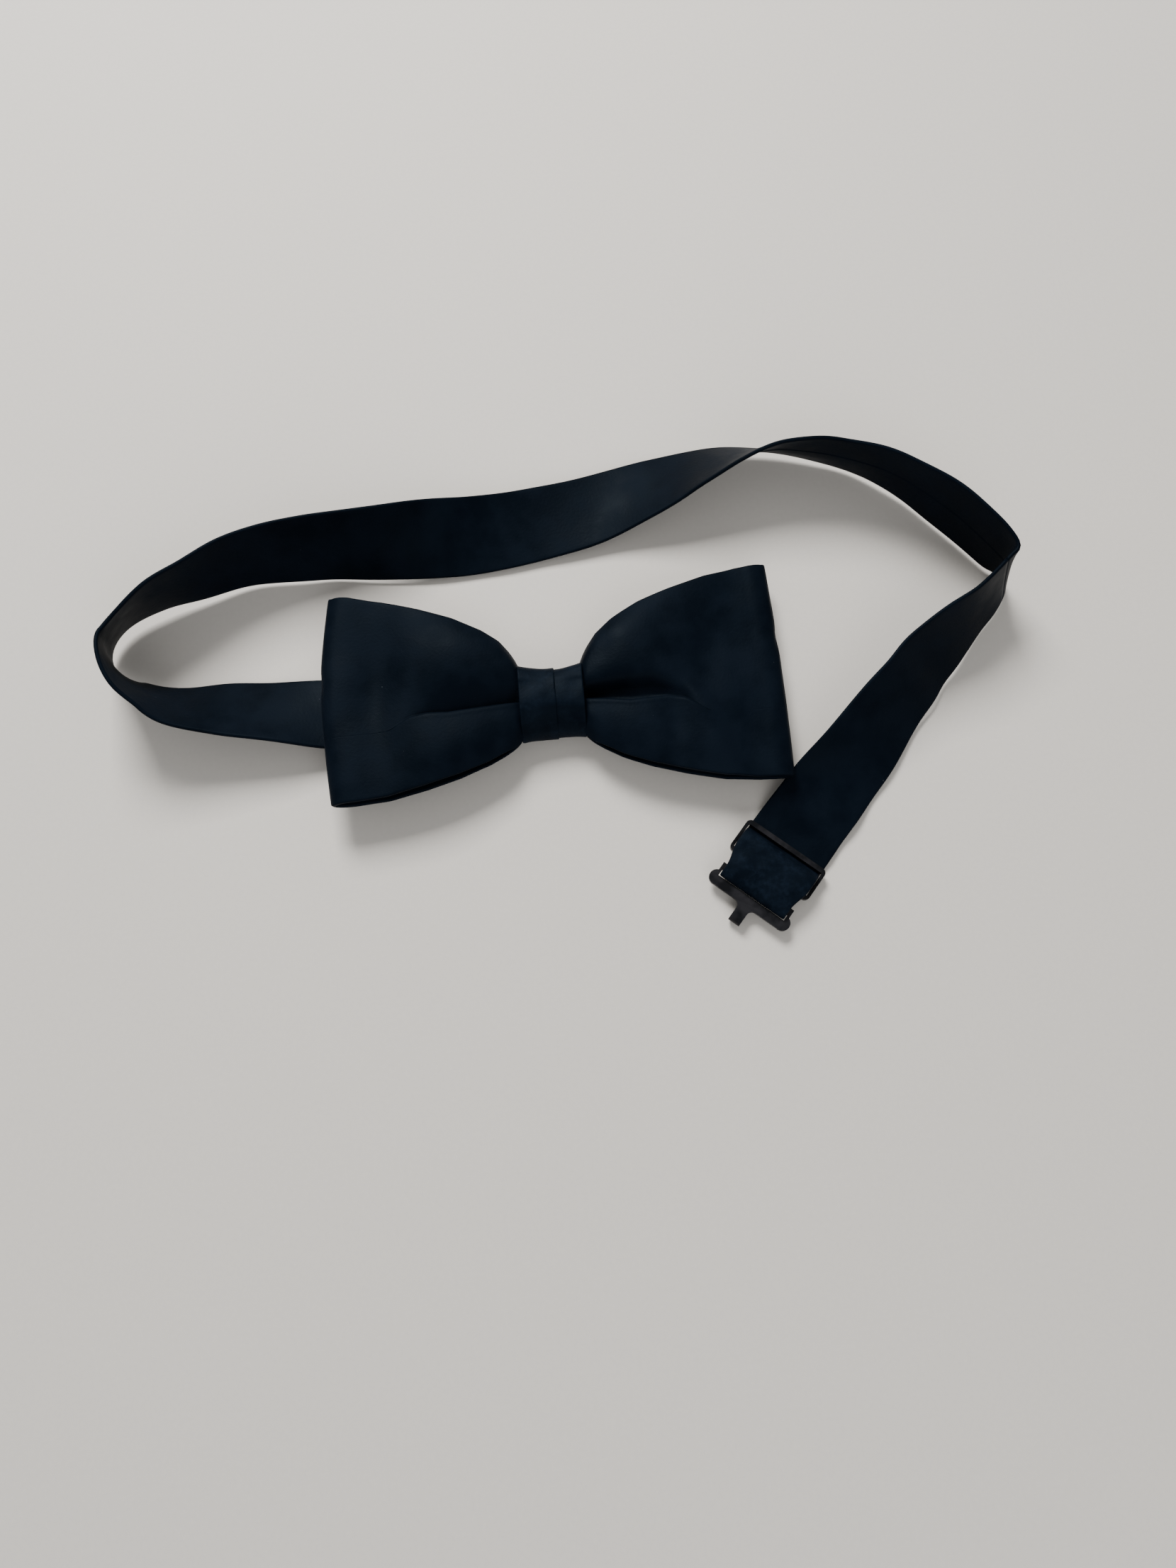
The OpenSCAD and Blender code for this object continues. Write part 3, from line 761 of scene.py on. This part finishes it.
def band_grid(route, end_start, width_share=1.0):
    """Points of the strap's cloth along the route, half its thickness at each, and the lap of its seam.
    end_start is the row where the last length of the strap begins, under the slider's rear bar."""
    across, out = band_frames(route, end_start)
    place, share = across_steps(BAND_WIDTH / 2, 0.45, 26, SEAM)
    v = place[None, :]
    d = np.r_[0, np.cumsum(np.linalg.norm(np.diff(route[:, :3], axis=0), axis=1))]
    # Distance beyond the slider's rear bar, negative before it
    past = d - d[end_start]
    into_slot = ramp(past, 8, 14.4)
    at_slider = ramp(past, -12, 0) * (1 - into_slot)
    width = KNOT_WIDTH + (BAND_WIDTH - KNOT_WIDTH) * ramp(d, 7, 24)
    width = (width - (BAND_WIDTH - HOOK_WIDTH) * into_slot + 0.35 * at_slider) * width_share
    gather = 1 - ramp(d, 8, 30)[:, None]
    ease = (ramp(d, 30, 60) * (1 - ramp(past, -8, 2)))[:, None]
    creases = (ramp(past, -70, -50) * (1 - ramp(past, -6, 0)))[:, None]
    pad = (ramp(past, 3.3, 6.3) * (1 - ramp(past, 14, 17)))[:, None]
    d = d[:, None]
    lift = 0.18 * gather * np.cos(v * 3.5 * math.pi)
    lift = lift + ease * (0.28 * (v**2 - 0.33) + 0.16 * ripples(d, v * 10, 21, 22))
    lift = lift + creases * 0.30 * np.sin(d / 2.9 + 0.9 * v + 0.8 * np.sin(d / 7))
    lift = lift + pad * (0.12 * ripples(d, v * 10, 23, 5) - 0.25 * v**4)
    side = ease * 0.20 * ripples(d, 0 * v, 22, 30) - 0.7 * ramp(d, d[-1] - 12, d[-1] - 8)
    grid = (
        route[:, None, :3]
        + across[:, None, :] * (v * width[:, None] / 2 + side)[..., None]
        + out[:, None, :] * lift[..., None]
    )
    return_layer = ramp(past, 15.3, 18.3)
    thick = (BAND_THICK / 2 - 0.13 * return_layer)[:, None] * share[None, :]
    lap = 0.14 * ramp(place, 0.0, 0.03) * (1 - ramp(place, 0.2, 0.9))
    return grid, thick, lap


def add_band_piece(name, rows, full, core, material):
    """One length of the strap, with its interlining."""
    grid, thick, lap = full
    core_grid, core_thick, _ = core
    piece = cloth(name, grid[rows], thick[rows], material, rear_lap=lap)
    inside = cloth(name + "_core", core_grid[rows], core_thick[rows] * 0.45, INTERLINING)
    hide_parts("neckband_satin")
    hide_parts("neckband_interlining")
    return piece, inside


def add_neckband():
    """The strap in three lengths: on the bow, from there to the slider, and from the slider to the hook."""
    route, end_start = band_route()
    turn = int(np.argmin(np.linalg.norm(route[:, :2] - np.array(RIGHT_TURN), axis=1)))
    full = band_grid(route, end_start)
    core = band_grid(route, end_start, width_share=0.93)
    for piece in add_band_piece("neckband_loop", slice(0, turn + 1), full, core, SATIN):
        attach(piece, "bow")
    for piece in add_band_piece("neckband_run", slice(turn, end_start + 1), full, core, SATIN):
        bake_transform(piece)
    last, inside = add_band_piece("neckband_end", slice(end_start, len(route)), full, core, WORN_SATIN)
    for piece in (last, inside):
        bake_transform(piece)
    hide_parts("neckband_satin", "turned_end", "slider_wrap")


# --- Eye tab --------------------------------------------------------------------------

TAB_REACH = 46.0     # distance from the knot's centre to the eye's strap bar
TAB_WIDTH = 19.0
EYE_Z = 2.25         # height of that bar
EYE_TURN = 1.35      # radius of the tab's turn round it


def tab_grid(width_share=1.0):
    """Points of the eye tab's cloth, from the knot out round the eye's bar and back underneath, and half
    its thickness at each point."""
    front = smooth([(1, 1.95), (8, 1.85), (14, 1.7), (20, 1.9), (28, 2.5), (36, 3.3), (42, 3.6)], 6)
    angle = np.linspace(0, math.pi, 12)
    turn = np.c_[TAB_REACH + EYE_TURN * np.sin(angle), EYE_Z + EYE_TURN * np.cos(angle)]
    back = smooth([(TAB_REACH, EYE_Z - EYE_TURN), (42, 0.85), (38, 0.75), (34, 0.7)], 6)
    path = np.vstack([front, turn, back[1:]])
    path = evenly(np.c_[path[:, 0], np.zeros(len(path)), path[:, 1]], 0.6)
    place, share = across_steps(TAB_WIDTH / 2, 0.35, 24)
    d = np.r_[0, np.cumsum(np.linalg.norm(np.diff(path, axis=0), axis=1))]
    width = (KNOT_WIDTH + (TAB_WIDTH - KNOT_WIDTH) * ramp(d, 6, 20)) * width_share
    gather = (1 - ramp(d, 8, 24))[:, None]
    grid = np.repeat(path[:, None, :], len(place), 1)
    grid[..., 1] = width[:, None] / 2 * place
    grid[..., 2] += 0.15 * gather * np.cos(place * 3.5 * math.pi)
    grid[..., 2] += 0.05 * ripples(d[:, None], place * 10, 31, 14) * ramp(d, 12, 20)[:, None]
    return grid[:, ::-1], np.tile(0.38 * share[::-1], (len(path), 1))


def add_eye_tab():
    grid, thick = tab_grid()
    tab = cloth("eye_tab_cloth", grid, thick, SATIN)
    core_grid, core_thick = tab_grid(0.94)
    core = cloth("eye_tab_core", core_grid[3:-3], core_thick[3:-3] * 0.5, INTERLINING)
    place_cloth(((tab, "eye_tab_satin", "satin"), (core, "eye_tab_interlining", "interlining")))


# --- Stage ----------------------------------------------------------------------------


FLOOR_HALF = 1.5     # metres


def add_floor():
    m = Nodes("floor")
    base = m.mix(m.noise(900, 2), (0.60, 0.575, 0.54), (0.64, 0.615, 0.58))
    m.finish(base, Roughness=0.7, Specular_IOR_Level=0.3)
    corners = [(x * FLOOR_HALF, y * FLOOR_HALF, 0) for x, y in ((-1, -1), (1, -1), (1, 1), (-1, 1))]
    mesh = bpy.data.meshes.new("floor")
    mesh.from_pydata(corners, [], [(0, 1, 2, 3)])
    mesh.materials.append(m.material)
    floor = bpy.data.objects.new("floor", mesh)
    bpy.context.scene.collection.objects.link(floor)


def add_light(name, at, target, size, power, colour=(1, 1, 1)):
    """A square lamp in metres and watts, turned towards the target."""
    data = bpy.data.lights.new(name, "AREA")
    data.shape = "SQUARE"
    data.size = size
    data.energy = power
    data.color = colour
    lamp = bpy.data.objects.new(name, data)
    lamp.location = at
    x, y, z = np.array(target, float) - np.array(at, float)
    lamp.rotation_euler = (math.atan2(math.hypot(x, y), -z), 0, math.atan2(-x, y))
    bpy.context.scene.collection.objects.link(lamp)


def add_lights():
    add_light("key", (-0.16, 0.62, 0.66), (0, 0, 0), 0.36, 14.0, (1.0, 0.98, 0.95))
    add_light("fill", (0.15, -0.75, 0.55), (0, 0.03, 0), 0.7, 3.5)
    world = bpy.data.worlds.new("world")
    world.use_nodes = True
    background = world.node_tree.nodes["Background"]
    background.inputs["Color"].default_value = (1, 0.99, 0.97, 1)
    background.inputs["Strength"].default_value = 0.42
    bpy.context.scene.world = world


# --- The whole tie --------------------------------------------------------------------

add_camera()
add_wing(LEFT)
add_wing(RIGHT)
add_knot()
add_neckband()
add_gather_thread()
add_eye_tab()

for node in ("hook_plate", "slider", "eye_plate"):
    finish_cad(node, METAL, bevel=0.16)
for node in ("knot_stitches", "strap_seam", "slider_bartack", "eye_tab_stitches"):
    finish_cad(node, THREAD)

add_floor()
add_lights()
